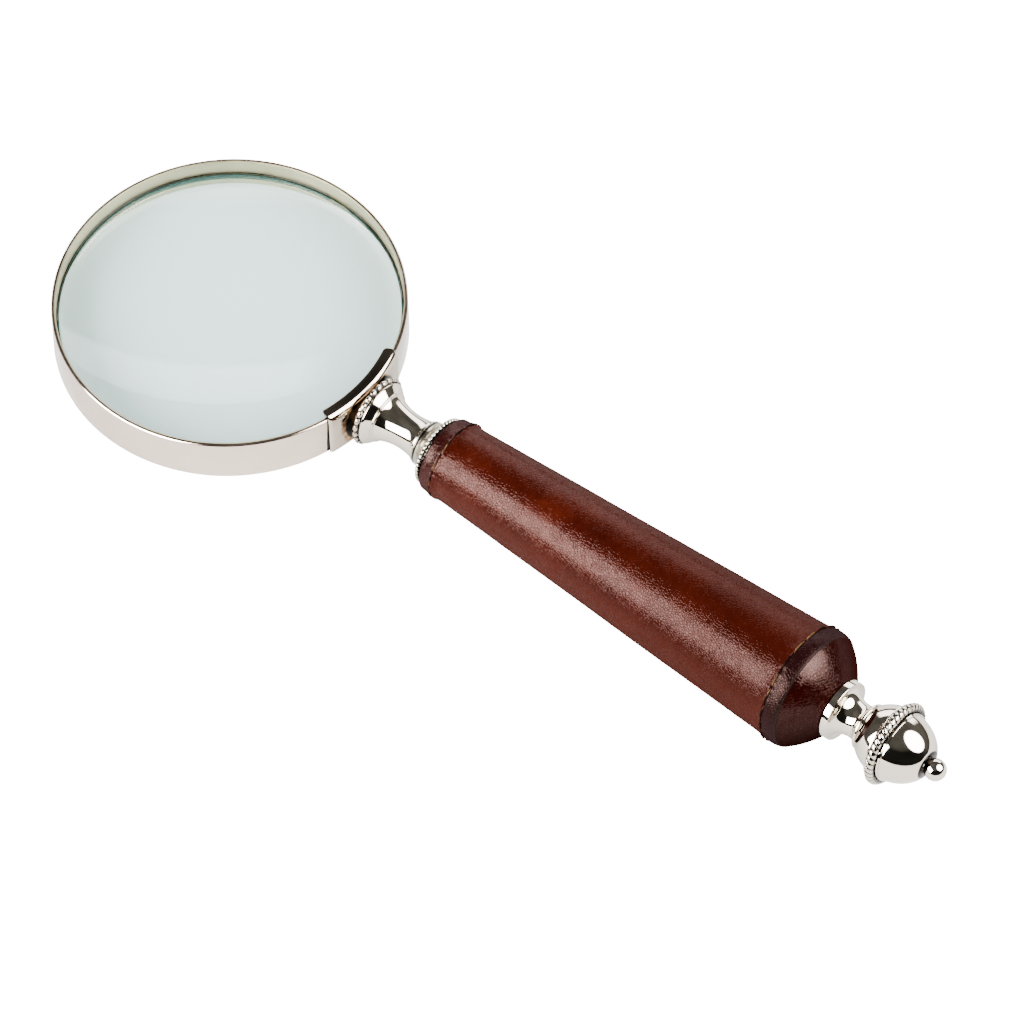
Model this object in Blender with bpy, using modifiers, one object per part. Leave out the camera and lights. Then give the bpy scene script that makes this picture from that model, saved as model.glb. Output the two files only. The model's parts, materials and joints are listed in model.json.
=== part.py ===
"""Reading magnifier: a round lens in a nickelled hoop, on a leather-covered handle with a turned finial.

The model lies at rest on its side, as it would on a desk. Lengths are in millimetres until a mesh
is made, and the handle's axis is the model's own X before the rest tilt. x = 0 is the lens centre.
"""

import math

import bmesh
import bpy

MM = 0.001
CLEARANCE = 0.1
MERGE = 1e-5
RING_STEPS = 64
HANDLE_STEPS = 32
SMALL_STEPS = 24

# Lens and hoop, about the lens axis
LENS_RADIUS = 45.0
LENS_EDGE = 3.8
LENS_SAG = 3.6
RIM_RADIUS = 46.5
RIM_WALL = 1.15
RIM_HEIGHT = 13.55
RIM_INNER = RIM_RADIUS - RIM_WALL
RIM_TOP = RIM_HEIGHT / 2
RIM_SPLIT = 0.6
RETAINER_WIRE = 0.4
RETAINER_GAP = 0.2
RETAINER_ARC = math.radians(352)
RETAINER_TURN = math.radians(94)
RETAINER_POINTS = 49
LENS_ROWS = 5

# Saddle clip, bent over the hoop's top edge where the handle joins
SHEET = 0.9
SADDLE_HALF_ANGLE = math.radians(17.3)
SADDLE_INNER = RIM_RADIUS + CLEARANCE
SADDLE_OUTER = SADDLE_INNER + SHEET
SADDLE_LIP_RADIUS = 43.2
SADDLE_BEND = 0.3
SADDLE_STEPS = 12

# Handle metalwork, as stations along the axis
STUD_RADIUS = 3.0
STUD_FLANGE_RADIUS = 6.6
STUD_FLANGE_WIDTH = 1.1
STUD_END_X = 57.0
BELL_MOUTH_X = 48.35
BELL_BEAD_X = 49.2
BELL_BEAD_RADIUS = 9.05
BELL_BEAD_SIZE = 0.8
BELL_BEADS = 26
BELL_WAIST = 0.7
BELL_CUP_CONTROL = (51.2, 7.9)
BELL_RIDGE_X = 52.3
BELL_RIDGE_RADIUS = 7.45
NECK_FRONT_CONTROL_X = 55.3
NECK_X = 59.8
NECK_RADIUS = 5.05
NECK_END = (61.4, 5.1)
NECK_REAR_CONTROL = (63.9, 5.25)
STEP_X = 65.4
STEP_RADIUS = 5.75
COLLAR_THROAT_RADIUS = 6.1
COLLAR_CONTROL = (68.6, 6.4)
COLLAR_X = 69.3
COLLAR_RADIUS = 8.95
COLLAR_BEAD_X = 70.05
COLLAR_BEAD_RADIUS = 9.05
COLLAR_BEAD_SIZE = 0.62
COLLAR_BEADS = 44
COLLAR_WAIST = 0.75
ROD_RADIUS = 2.5
ROD_FRONT_X = 58.2
ROD_REAR_X = 211.0
BORE_RADIUS = ROD_RADIUS + CLEARANCE

# Leather grip over its wooden core
LEATHER = 1.2
GRIP_FRONT_X = 71.7
GRIP_REAR_X = 202.0
FRONT_SEAM_X = 75.6
REAR_SEAM_X = 189.3
SEAM_GAP = 1.0
SEAM_THREAD = 0.32
GRIP_REFERENCE_X = 82.1
GRIP_REFERENCE_RADIUS = 10.97
GRIP_TAPER = 0.0516
BAND_REAR_X = 193.8
BAND_RADIUS = 16.9
BAND_CROWN_X = 191.4
CAP_FRONT_RADIUS = 16.2
CAP_REAR_RADIUS = 7.9
CAP_HOLE_RADIUS = 5.7
CAP_CONTROL = (197.6, 13.8)
CAP_LINING_CONTROL = (197.0, 12.6)
CORE_DOME_CONTROL = (196.9, 12.5)
CORE_END_RADIUS = 6.3

# Finial, a cap nut on the rear end of the tie rod
WASHER_RADIUS = 5.5
WASHER_FRONT_X = 201.0
WASHER_REAR_X = 201.9
FLANGE_RADIUS = 8.4
FLANGE_REAR_X = 203.9
FLANGE_BEVEL = 0.2
SPOOL_SHOULDER_RADIUS = 7.3
SPOOL_CONTROL = (205.3, 4.8)
SPOOL_NECK_X = 208.6
SPOOL_NECK_RADIUS = 4.95
SPOOL_END_X = 212.0
NECK_RING_X = 211.3
NECK_RING_RADIUS = 5.95
NECK_RING_SIZE = 0.65
BALL_X = 219.8
BALL_RADIUS = 9.85
BALL_FRONT_LENGTH = 11.0
BALL_REAR_LENGTH = 11.9
BALL_WALL = 0.9
BALL_FRONT_X = 212.3
BALL_REAR_X = 230.45
BALL_FLANGE_RADIUS = 10.9
BALL_FLANGE_X = 218.2
FINIAL_BEAD_X = 219.95
FINIAL_BEAD_RADIUS = 10.7
FINIAL_BEAD_SIZE = 1.3
FINIAL_BEADS = 42
FINIAL_WAIST = 0.85
POST_RADIUS = 2.0
POST_FRONT_X = 212.2
POST_REAR_X = 228.4
TIP_X = 233.0
TIP_RADIUS = 3.07
TIP_NECK_RADIUS = 1.9

# Rest pose: the hoop's far lower edge and the rear leather band both touch the table
REST_TILT = math.atan2(BAND_RADIUS - RIM_TOP, BAND_CROWN_X + RIM_RADIUS)
AXIS_TURN = (0.0, math.pi / 2, 0.0)


def clear_scene():
    for old in list(bpy.data.objects):
        bpy.data.objects.remove(old)


def new_collection(name):
    collection = bpy.data.collections.new(name)
    bpy.context.scene.collection.children.link(collection)
    return collection


def new_material(name, colour, roughness, metallic, transmission=0.0):
    material = bpy.data.materials.new(name)
    material.use_nodes = True
    shader = material.node_tree.nodes["Principled BSDF"]
    shader.inputs["Base Color"].default_value = (*colour, 1.0)
    shader.inputs["Roughness"].default_value = roughness
    shader.inputs["Metallic"].default_value = metallic
    shader.inputs["Transmission Weight"].default_value = transmission
    return material


def add_object(name, data, material, rotation=(0.0, 0.0, 0.0)):
    """A part in the part collection, placed in the handle's frame by the rest empty."""
    part = bpy.data.objects.new(name, data)
    parts.objects.link(part)
    data.materials.append(material)
    part.rotation_euler = rotation
    part.parent = rest
    return part


def smooth(mesh):
    mesh.shade_smooth()
    mesh.set_sharp_from_angle(angle=math.radians(35))


def profile_mesh(name, outline, closed):
    """Edges through (station, radius) points, drawn in the XZ plane with the station along Z."""
    mesh = bpy.data.meshes.new(name)
    points = [(radius * MM, 0.0, station * MM) for station, radius in outline]
    edges = [(i, i + 1) for i in range(len(points) - 1)]
    if closed:
        edges.append((len(points) - 1, 0))
    mesh.from_pydata(points, edges, [])
    return mesh


def screw(part, steps, angle=2 * math.pi):
    turn = part.modifiers.new("turn", "SCREW")
    turn.angle = angle
    turn.steps = steps
    turn.render_steps = steps
    turn.use_merge_vertices = angle == 2 * math.pi
    turn.merge_threshold = MERGE


def turned(name, outer, material, bore=None, steps=HANDLE_STEPS, rotation=AXIS_TURN):
    """A lathe-turned part. outer and bore are (station, radius) points by rising station."""
    if bore:
        outline = list(reversed(outer)) + list(bore)
    else:
        outline = [(outer[-1][0], 0.0), *reversed(outer), (outer[0][0], 0.0)]
    part = add_object(name, profile_mesh(name, outline, bool(bore)), material, rotation)
    screw(part, steps)
    return part


def bent(start, control, end, count):
    """Points along a quadratic curve from start to end, both included."""
    points = []
    for i in range(count + 1):
        t = i / count
        a, b, c = (1 - t) ** 2, 2 * t * (1 - t), t * t
        points.append(tuple(a * s + b * m + c * e for s, m, e in zip(start, control, end)))
    return points


def oval(centre, length, radius, first_x, last_x, count):
    """Points on an ellipse about the axis, spaced evenly in angle between two stations."""
    first = math.acos(max(-1.0, min(1.0, (first_x - centre) / length)))
    last = math.acos(max(-1.0, min(1.0, (last_x - centre) / length)))
    angles = [first + (last - first) * i / count for i in range(count + 1)]
    return [(centre + length * math.cos(a), radius * math.sin(a)) for a in angles]


def wire_ring(name, ring_radius, wire_radii, material, arc=2 * math.pi, rotation=AXIS_TURN):
    """A wire bent to a ring. wire_radii holds one wire radius for each of its points."""
    curve = bpy.data.curves.new(name, "CURVE")
    curve.dimensions = "3D"
    curve.bevel_depth = MM
    curve.bevel_resolution = 2
    curve.use_fill_caps = True
    whole = arc == 2 * math.pi
    spline = curve.splines.new("POLY")
    count = len(wire_radii)
    spline.points.add(count - 1)
    spline.use_cyclic_u = whole
    for i, point in enumerate(spline.points):
        angle = arc * i / (count if whole else count - 1)
        place = (ring_radius * MM * math.cos(angle), ring_radius * MM * math.sin(angle))
        point.co = (*place, 0.0, 1.0)
        point.radius = wire_radii[i]
    return add_object(name, curve, material, rotation)


def beaded_ring(name, station, ring_radius, bead_radius, beads, waist, material):
    """Beaded wire: full beads with a waist, which is a share of the bead's radius, between them."""
    radii = [bead_radius * (1.0 if i % 2 == 0 else waist) for i in range(2 * beads)]
    ring = wire_ring(name, ring_radius, radii, material)
    ring.location.x = station * MM
    return ring


def grip_radius(x):
    """Outer radius of the tapered leather at a station."""
    return GRIP_REFERENCE_RADIUS + (x - GRIP_REFERENCE_X) * GRIP_TAPER


def cut_with(part, cutter):
    cutter.hide_render = True
    cutter.display_type = "WIRE"
    cut = part.modifiers.new("cut", "BOOLEAN")
    cut.operation = "DIFFERENCE"
    cut.object = cutter


def cutter_object(name, mesh):
    cutter = bpy.data.objects.new(name, mesh)
    cutters.objects.link(cutter)
    cutter.parent = rest
    return cutter


def box_mesh(name, size_x, size_y, size_z):
    mesh = bpy.data.meshes.new(name)
    box = bmesh.new()
    bmesh.ops.create_cube(box, size=1.0)
    bmesh.ops.scale(box, vec=(size_x * MM, size_y * MM, size_z * MM), verts=box.verts)
    box.to_mesh(mesh)
    box.free()
    return mesh


def cylinder_mesh(name, radius, height, segments):
    mesh = bpy.data.meshes.new(name)
    drum = bmesh.new()
    bmesh.ops.create_cone(
        drum,
        cap_ends=True,
        segments=segments,
        radius1=radius * MM,
        radius2=radius * MM,
        depth=height * MM,
    )
    drum.to_mesh(mesh)
    drum.free()
    return mesh


def make_lens():
    """Biconvex glass disc with a ground edge. Stations here run along the lens axis."""
    edge = LENS_EDGE / 2
    crown = LENS_SAG + edge
    shares = [i / LENS_ROWS for i in range(1, LENS_ROWS + 1)]
    lower = [(-crown + LENS_SAG * share**2, LENS_RADIUS * share) for share in shares]
    upper = [(-z, r) for z, r in reversed(lower)]
    outline = [(crown, 0.0), *reversed(upper), *reversed(lower), (-crown, 0.0)]
    lens = add_object("lens", profile_mesh("lens", outline, False), glass)
    screw(lens, RING_STEPS)


def make_rim():
    """Hoop of strip brass whose two ends meet under the saddle clip."""
    outer = [(-RIM_TOP, RIM_RADIUS), (RIM_TOP, RIM_RADIUS)]
    bore = [(-RIM_TOP, RIM_INNER), (RIM_TOP, RIM_INNER)]
    rim = turned("rim_band", outer, nickel, bore, RING_STEPS, (0.0, 0.0, 0.0))
    slit = cutter_object("rim_split_cutter", box_mesh("slit", 3 * RIM_WALL, RIM_SPLIT, 2 * RIM_HEIGHT))
    slit.location.x = (RIM_RADIUS - RIM_WALL / 2) * MM
    cut_with(rim, slit)


def make_retainers():
    """Two sprung wire rings that hold the lens in the hoop from above and below."""
    height = LENS_EDGE / 2 + RETAINER_GAP + RETAINER_WIRE
    ring_radius = RIM_INNER - CLEARANCE - RETAINER_WIRE
    for name, side in (("lens_retainer_upper", 1), ("lens_retainer_lower", -1)):
        spin = (0.0, 0.0, RETAINER_TURN)
        wire = [RETAINER_WIRE] * RETAINER_POINTS
        ring = wire_ring(name, ring_radius, wire, nickel, RETAINER_ARC, spin)
        ring.location.z = side * height * MM


def make_saddle():
    """Sheet plate against the hoop, with its top edge bent over the hoop as a lip."""
    top = RIM_TOP + CLEARANCE
    corner = (top, SADDLE_INNER)
    bend = bent((top - SADDLE_BEND, SADDLE_INNER), corner, (top, SADDLE_INNER - SADDLE_BEND), 4)
    outline = [(top, SADDLE_LIP_RADIUS), *reversed(bend), (-RIM_TOP, SADDLE_INNER)]
    saddle = add_object("saddle_clip", profile_mesh("saddle_clip", outline, False), nickel)
    saddle.rotation_euler.z = -SADDLE_HALF_ANGLE
    screw(saddle, SADDLE_STEPS, 2 * SADDLE_HALF_ANGLE)
    plate = saddle.modifiers.new("sheet", "SOLIDIFY")
    plate.thickness = SHEET * MM
    plate.offset = 1.0


def make_mounting_stud():
    """Stud with a flange brazed to the saddle. The flange's face follows the saddle's curve."""
    flange_rear = BELL_MOUTH_X + STUD_FLANGE_WIDTH
    outer = [
        (RIM_RADIUS - 2.0, STUD_FLANGE_RADIUS),
        (flange_rear, STUD_FLANGE_RADIUS),
        (flange_rear, STUD_RADIUS),
        (STUD_END_X, STUD_RADIUS),
    ]
    stud = turned("mounting_stud", outer, brass, steps=HANDLE_STEPS)
    drum = cylinder_mesh("saddle_face", SADDLE_OUTER + CLEARANCE, 2 * RIM_HEIGHT, 4 * RING_STEPS)
    cut_with(stud, cutter_object("saddle_face_cutter", drum))


def make_bell():
    """Bell ferrule: a cup with a ridge, then a waisted neck down to the collar."""
    seat = BELL_BEAD_RADIUS - BELL_BEAD_SIZE - CLEARANCE
    shoulder_x = BELL_BEAD_X + BELL_BEAD_SIZE + CLEARANCE
    ridge = (BELL_RIDGE_X, BELL_RIDGE_RADIUS)
    neck_control = (NECK_FRONT_CONTROL_X, NECK_RADIUS)
    outer = [
        (BELL_MOUTH_X, seat),
        (shoulder_x, seat),
        (shoulder_x, BELL_BEAD_RADIUS - 0.3),
        *bent((shoulder_x + 0.4, BELL_BEAD_RADIUS - 0.15), BELL_CUP_CONTROL, ridge, 3),
        *bent((BELL_RIDGE_X + 0.25, BELL_RIDGE_RADIUS - 0.2), neck_control, (NECK_X, NECK_RADIUS), 5),
        *bent(NECK_END, NECK_REAR_CONTROL, (STEP_X, STEP_RADIUS), 3),
    ]
    recess = BELL_MOUTH_X + STUD_FLANGE_WIDTH + 0.15
    stud_bore = STUD_RADIUS + CLEARANCE
    bore = [
        (BELL_MOUTH_X, STUD_FLANGE_RADIUS + 0.3),
        (recess, STUD_FLANGE_RADIUS + 0.3),
        (recess, stud_bore),
        (STUD_END_X + 0.6, stud_bore),
        (STUD_END_X + 0.6, BORE_RADIUS),
        (STEP_X, BORE_RADIUS),
    ]
    turned("bell_ferrule", outer, nickel, bore)


def make_bead_rings():
    beaded_ring(
        "bell_bead_ring",
        BELL_BEAD_X,
        BELL_BEAD_RADIUS,
        BELL_BEAD_SIZE,
        BELL_BEADS,
        BELL_WAIST,
        nickel,
    )
    beaded_ring(
        "collar_bead_ring",
        COLLAR_BEAD_X,
        COLLAR_BEAD_RADIUS,
        COLLAR_BEAD_SIZE,
        COLLAR_BEADS,
        COLLAR_WAIST,
        nickel,
    )


def make_collar():
    """Flared collar between the bell's neck and the leather, with a seat for its bead ring."""
    seat = COLLAR_BEAD_RADIUS - COLLAR_BEAD_SIZE - CLEARANCE
    start = STEP_X + CLEARANCE
    outer = [
        (start, COLLAR_THROAT_RADIUS),
        *bent((start + 0.5, COLLAR_THROAT_RADIUS), COLLAR_CONTROL, (COLLAR_X, COLLAR_RADIUS), 5),
        (COLLAR_X + 0.02, seat),
        (GRIP_FRONT_X - 0.3, seat),
    ]
    bore = [(start, BORE_RADIUS), (GRIP_FRONT_X - 0.3, BORE_RADIUS)]
    turned("beaded_collar", outer, nickel, bore)


def make_tie_rod():
    outer = [(ROD_FRONT_X, ROD_RADIUS), (ROD_REAR_X, ROD_RADIUS)]
    turned("tie_rod", outer, steel, steps=SMALL_STEPS)


def make_core():
    """Turned wooden grip, bored for the tie rod, that carries all the leather."""
    step = LEATHER + CLEARANCE
    end = WASHER_FRONT_X - CLEARANCE
    shoulder = (BAND_REAR_X, CAP_FRONT_RADIUS - step)
    dome = bent(shoulder, CORE_DOME_CONTROL, (end, CORE_END_RADIUS), 5)
    outer = [
        (GRIP_FRONT_X - 0.2, grip_radius(GRIP_FRONT_X) - step),
        (REAR_SEAM_X, grip_radius(REAR_SEAM_X) - step),
        *dome,
    ]
    bore = [(GRIP_FRONT_X - 0.2, BORE_RADIUS), (end, BORE_RADIUS)]
    turned("grip_core", outer, wood, bore)


def make_leather():
    """Sleeve, its two end bands and the domed cap, all in the same hide."""
    seam = SEAM_GAP / 2
    sleeve_front, sleeve_rear = FRONT_SEAM_X + seam, REAR_SEAM_X - seam
    sleeve = [(x, grip_radius(x)) for x in (sleeve_front, sleeve_rear)]
    turned("leather_sleeve", sleeve, leather, [(x, r - LEATHER) for x, r in sleeve])

    band_rear = FRONT_SEAM_X - seam
    front = [
        (GRIP_FRONT_X, grip_radius(GRIP_FRONT_X) - 0.35),
        (GRIP_FRONT_X + 0.4, grip_radius(GRIP_FRONT_X)),
        (band_rear, grip_radius(band_rear) + 0.1),
    ]
    inside = [(x, grip_radius(x) - LEATHER) for x in (GRIP_FRONT_X, band_rear)]
    turned("front_leather_band", front, leather, inside)

    band_front = REAR_SEAM_X + seam
    rear = [
        (band_front, BAND_RADIUS - 0.2),
        (BAND_CROWN_X, BAND_RADIUS),
        (BAND_REAR_X - 0.3, BAND_RADIUS - 0.1),
        (BAND_REAR_X, BAND_RADIUS - 0.4),
    ]
    hold = grip_radius(REAR_SEAM_X) - LEATHER
    inside = [(band_front, hold), (BAND_REAR_X, hold)]
    turned("rear_leather_band", rear, dark_leather, inside)

    start = BAND_REAR_X + 0.1
    dome = bent((start, CAP_FRONT_RADIUS), CAP_CONTROL, (GRIP_REAR_X - 0.25, CAP_REAR_RADIUS), 6)
    lining_end = (WASHER_FRONT_X, CORE_END_RADIUS + 0.15)
    hollow = bent((start, CAP_FRONT_RADIUS - LEATHER), CAP_LINING_CONTROL, lining_end, 5)
    inside = [*hollow, (WASHER_FRONT_X, CAP_HOLE_RADIUS), (GRIP_REAR_X - 0.2, CAP_HOLE_RADIUS)]
    turned("butt_leather_cap", [*dome, (GRIP_REAR_X - 0.2, CAP_REAR_RADIUS - 0.5)], leather, inside)


def make_seam_threads():
    for name, x, lift in (
        ("front_seam_thread", FRONT_SEAM_X, 0.0),
        ("rear_seam_thread", REAR_SEAM_X, 0.05),
    ):
        ring_radius = grip_radius(x) - SEAM_THREAD + lift
        thread = wire_ring(name, ring_radius, [SEAM_THREAD] * HANDLE_STEPS, linen)
        thread.location.x = x * MM


def make_washer():
    outer = [(WASHER_FRONT_X, WASHER_RADIUS), (WASHER_REAR_X, WASHER_RADIUS)]
    bore = [(WASHER_FRONT_X, BORE_RADIUS), (WASHER_REAR_X, BORE_RADIUS)]
    turned("butt_washer", outer, steel, bore, SMALL_STEPS)


def make_finial():
    """Cap nut: flanged spool, neck ring, hollow ball in two halves on a bead band, and a tip ball."""
    spigot = NECK_RING_RADIUS - NECK_RING_SIZE - CLEARANCE
    shoulder = (FLANGE_REAR_X + 0.1, SPOOL_SHOULDER_RADIUS)
    outer = [
        (GRIP_REAR_X, FLANGE_RADIUS - FLANGE_BEVEL),
        (GRIP_REAR_X + FLANGE_BEVEL, FLANGE_RADIUS),
        (FLANGE_REAR_X - FLANGE_BEVEL, FLANGE_RADIUS),
        (FLANGE_REAR_X, FLANGE_RADIUS - FLANGE_BEVEL),
        *bent(shoulder, SPOOL_CONTROL, (SPOOL_NECK_X, SPOOL_NECK_RADIUS), 5),
        (NECK_RING_X - NECK_RING_SIZE - CLEARANCE, spigot + 0.2),
        (NECK_RING_X - NECK_RING_SIZE, spigot),
        (SPOOL_END_X, spigot),
    ]
    bore = [(GRIP_REAR_X, BORE_RADIUS), (SPOOL_END_X, BORE_RADIUS)]
    turned("finial_spool", outer, nickel, bore)

    ring = wire_ring("finial_neck_ring", NECK_RING_RADIUS, [NECK_RING_SIZE] * SMALL_STEPS, nickel)
    ring.location.x = NECK_RING_X * MM

    flange_rear = FINIAL_BEAD_X - FINIAL_BEAD_SIZE - CLEARANCE
    lower = oval(BALL_X, BALL_FRONT_LENGTH, BALL_RADIUS, BALL_FRONT_X, BALL_FLANGE_X, 6)
    inner_length, inner_radius = BALL_FRONT_LENGTH - BALL_WALL, BALL_RADIUS - BALL_WALL
    hollow = oval(BALL_X, inner_length, inner_radius, BALL_FRONT_X, flange_rear, 6)
    rim = [(BALL_FLANGE_X, BALL_FLANGE_RADIUS), (flange_rear, BALL_FLANGE_RADIUS)]
    turned("finial_lower_shell", [*lower, *rim], nickel, hollow)

    beaded_ring(
        "finial_bead_band",
        FINIAL_BEAD_X,
        FINIAL_BEAD_RADIUS,
        FINIAL_BEAD_SIZE,
        FINIAL_BEADS,
        FINIAL_WAIST,
        nickel,
    )

    upper_front = FINIAL_BEAD_X + FINIAL_BEAD_SIZE + CLEARANCE
    upper = oval(BALL_X, BALL_REAR_LENGTH, BALL_RADIUS, upper_front, BALL_REAR_X, 7)
    inner_length = BALL_REAR_LENGTH - BALL_WALL
    hollow = oval(BALL_X, inner_length, inner_radius, upper_front, BALL_REAR_X - 0.7, 6)
    hole = [(BALL_REAR_X - 0.7, TIP_NECK_RADIUS + CLEARANCE), (BALL_REAR_X, TIP_NECK_RADIUS + CLEARANCE)]
    turned("finial_upper_shell", upper, nickel, [*hollow, *hole])

    post = [(POST_FRONT_X, POST_RADIUS), (POST_REAR_X, POST_RADIUS)]
    turned("finial_post", post, brass, steps=SMALL_STEPS)

    ball_start = TIP_X - math.sqrt(TIP_RADIUS**2 - TIP_NECK_RADIUS**2)
    ball = oval(TIP_X, TIP_RADIUS, TIP_RADIUS, ball_start, TIP_X + TIP_RADIUS, 7)[:-1]
    outline = [(TIP_X + TIP_RADIUS, 0.0), *reversed(ball), (POST_REAR_X + 0.1, TIP_NECK_RADIUS)]
    outline.append((POST_REAR_X + 0.1, 0.0))
    tip = add_object("finial_tip", profile_mesh("finial_tip", outline, False), nickel, AXIS_TURN)
    screw(tip, SMALL_STEPS)


def place_at_rest():
    """Stand the model's box on z = 0 with the origin at the middle of its underside."""
    cosine, sine = math.cos(REST_TILT), math.sin(REST_TILT)
    low_x = -RIM_RADIUS * cosine - RIM_TOP * sine
    high_x = TIP_X * cosine + TIP_RADIUS
    rest.location.x = -(low_x + high_x) / 2 * MM
    rest.location.z = (RIM_RADIUS * sine + RIM_TOP * cosine) * MM
    rest.rotation_euler.y = -REST_TILT


def finish_meshes():
    for part in parts.objects:
        if part.type == "MESH":
            smooth(part.data)


clear_scene()
parts = new_collection("magnifying_glass")
cutters = new_collection("cutters")
rest = bpy.data.objects.new("rest_pose", None)
parts.objects.link(rest)

nickel = new_material("nickel", (0.80, 0.78, 0.74), 0.12, 1.0)
brass = new_material("brass", (0.52, 0.34, 0.16), 0.35, 1.0)
steel = new_material("steel", (0.55, 0.55, 0.56), 0.35, 1.0)
glass = new_material("glass", (0.86, 0.93, 0.92), 0.02, 0.0, 1.0)
leather = new_material("leather", (0.19, 0.035, 0.018), 0.35, 0.0)
dark_leather = new_material("dark_leather", (0.06, 0.018, 0.014), 0.4, 0.0)
linen = new_material("linen", (0.45, 0.30, 0.16), 0.8, 0.0)
wood = new_material("wood", (0.42, 0.27, 0.14), 0.7, 0.0)

make_lens()
make_rim()
make_retainers()
make_saddle()
make_mounting_stud()
make_bell()
make_bead_rings()
make_collar()
make_tie_rod()
make_core()
make_leather()
make_seam_threads()
make_washer()
make_finial()
finish_meshes()
place_at_rest()
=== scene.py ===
"""Looks of a leather-handled magnifying glass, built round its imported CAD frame.

Shapes are worked out in the handle's own frame: millimetres, x along the handle from the lens centre
to the finial, z along the lens axis. PLACE turns that frame into the row frame in metres.
"""

import json
import math
from collections import namedtuple

import bmesh
import bpy
import numpy as np
from mathutils import Matrix, Vector, noise


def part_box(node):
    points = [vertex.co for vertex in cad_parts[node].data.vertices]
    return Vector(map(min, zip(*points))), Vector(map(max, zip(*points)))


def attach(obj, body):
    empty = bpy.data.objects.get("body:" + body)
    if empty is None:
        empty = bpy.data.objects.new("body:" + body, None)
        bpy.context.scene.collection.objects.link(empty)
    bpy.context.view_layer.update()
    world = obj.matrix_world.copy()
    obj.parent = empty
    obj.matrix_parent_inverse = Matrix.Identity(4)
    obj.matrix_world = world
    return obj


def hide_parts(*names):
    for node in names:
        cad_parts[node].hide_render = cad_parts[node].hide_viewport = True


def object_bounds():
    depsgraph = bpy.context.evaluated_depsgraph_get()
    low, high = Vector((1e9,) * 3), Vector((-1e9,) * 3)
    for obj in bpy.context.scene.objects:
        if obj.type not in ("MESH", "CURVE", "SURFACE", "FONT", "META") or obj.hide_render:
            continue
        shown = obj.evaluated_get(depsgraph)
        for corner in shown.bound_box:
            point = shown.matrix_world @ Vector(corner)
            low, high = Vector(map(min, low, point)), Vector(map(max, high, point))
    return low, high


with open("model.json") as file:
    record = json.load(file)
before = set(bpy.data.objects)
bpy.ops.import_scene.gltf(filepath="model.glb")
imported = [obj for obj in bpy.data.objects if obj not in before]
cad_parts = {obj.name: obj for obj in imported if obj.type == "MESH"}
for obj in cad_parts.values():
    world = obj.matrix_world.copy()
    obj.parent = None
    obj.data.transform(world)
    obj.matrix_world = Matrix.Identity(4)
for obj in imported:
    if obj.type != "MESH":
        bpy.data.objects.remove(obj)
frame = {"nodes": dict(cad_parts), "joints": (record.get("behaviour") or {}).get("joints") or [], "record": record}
cad_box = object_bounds()

MM = 0.001
TURN = 2 * math.pi
BODY_OF = {n: b for b, names in frame["record"]["behaviour"]["bodies"].items() for n in names}

# The frame's own axes: the finial slides off along the handle
AXIS = Vector(next(j for j in frame["joints"] if j["name"] == "finial_travel")["axis"]).normalized()
SIDE = Vector((0.0, 1.0, 0.0))
LENS_CENTRE = sum(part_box("lens"), Vector()) / 2
PLACE = Matrix((AXIS, SIDE, AXIS.cross(SIDE))).transposed().to_4x4()
PLACE.translation = LENS_CENTRE

# Camera, in the handle's frame
CAMERA_AZIMUTH = math.radians(40.868)
CAMERA_ELEVATION = math.radians(54.398)
CAMERA_ROLL = math.radians(-2.374)
CAMERA_DISTANCE = 4128.8
CAMERA_AIM = Vector((97.15, -3.53, 0.0))
FOCAL_LENGTH = 562.5

# Studio, as directions from the object in the row frame, and the floor in metres
KEY_DIRECTION = Vector((-0.34, -0.76, 0.50))
ROUND_DIRECTION = Vector((0.64, 0.32, 0.70))
FILL_DIRECTION = Vector((-0.42, 0.74, 0.34))
DARK_SIDE = (0.64, -0.77)
FLOOR_SIZE = 30.0
SHEET_GLOW = 16.0
SURROUND_GLOW = 12.0

# Fine shapes that the frame's boxes don't give: lengths in millimetres, counts and steps of a mesh
NICKEL_SHEET = 0.9
RIM_CHAMFER = 0.28
SADDLE_BEND = 3.2
LIP_RADIUS = 43.55
LIP_FLAT = 2.15
LIP_END_ROUND = 1.0
BELL_BEADS = 26
COLLAR_BEADS = 44
HIDE = 1.2
SEAM_GROOVE = 0.09
SEAM_RIDGE = 0.5
STITCH_PITCH = 5.3
THREAD_RADIUS = 0.2
FRONT_SEAM_SEED = 0.2
REAR_SEAM_SEED = 0.55
FLANGE = 1.9
ROPE_HALF_WIDTH = 1.3
FINIAL_LOBES = 42
BORE_GAP = 0.1
TURNED_STEPS = 192
HIDE_STEPS = 300

# Marks and bands of painted shade on the surfaces: heights and stations in millimetres, and the last two in metres
STAIN_AND_SHADOW_TOP = 5.2
COLLAR_SHADE = (70.6, 75.0)
BALL_SHADE = (230.5, 235.0)
BURNISHED_EDGE = 193.2
ROD_THREAD_PITCH = 0.0008
HAND_WORN = (0.10, 0.17)

# Colours, and how the painted sheen at the hide's sides tints its own
SHEEN_TINT = (1.05, 1.5, 2.0)
PLATE_TINT = (0.62, 0.55, 0.46)
NOTCH_SHADE = (0.012, 0.010, 0.007)
BLACK_WAX = (0.004, 0.003, 0.0025)

Span = namedtuple("Span", "front rear radius")


# ---- measuring the frame ----


def corners(node):
    """A CAD node's vertices in the handle's frame, in millimetres."""
    back = PLACE.inverted()
    return np.array([back @ v.co for v in frame["nodes"][node].data.vertices]) / MM


def from_lens_axis(points):
    return np.hypot(points[:, 0], points[:, 1])


def span(node):
    """How far a turned node reaches along the handle, and its largest radius about it."""
    points = corners(node)
    radii = np.hypot(points[:, 1], points[:, 2])
    return Span(points[:, 0].min(), points[:, 0].max(), radii.max())


def radius_near(node, station, reach=0.6):
    """Largest radius of a turned node close to a station."""
    points = corners(node)
    near = np.abs(points[:, 0] - station) < reach
    return np.hypot(points[near, 1], points[near, 2]).max()


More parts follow.
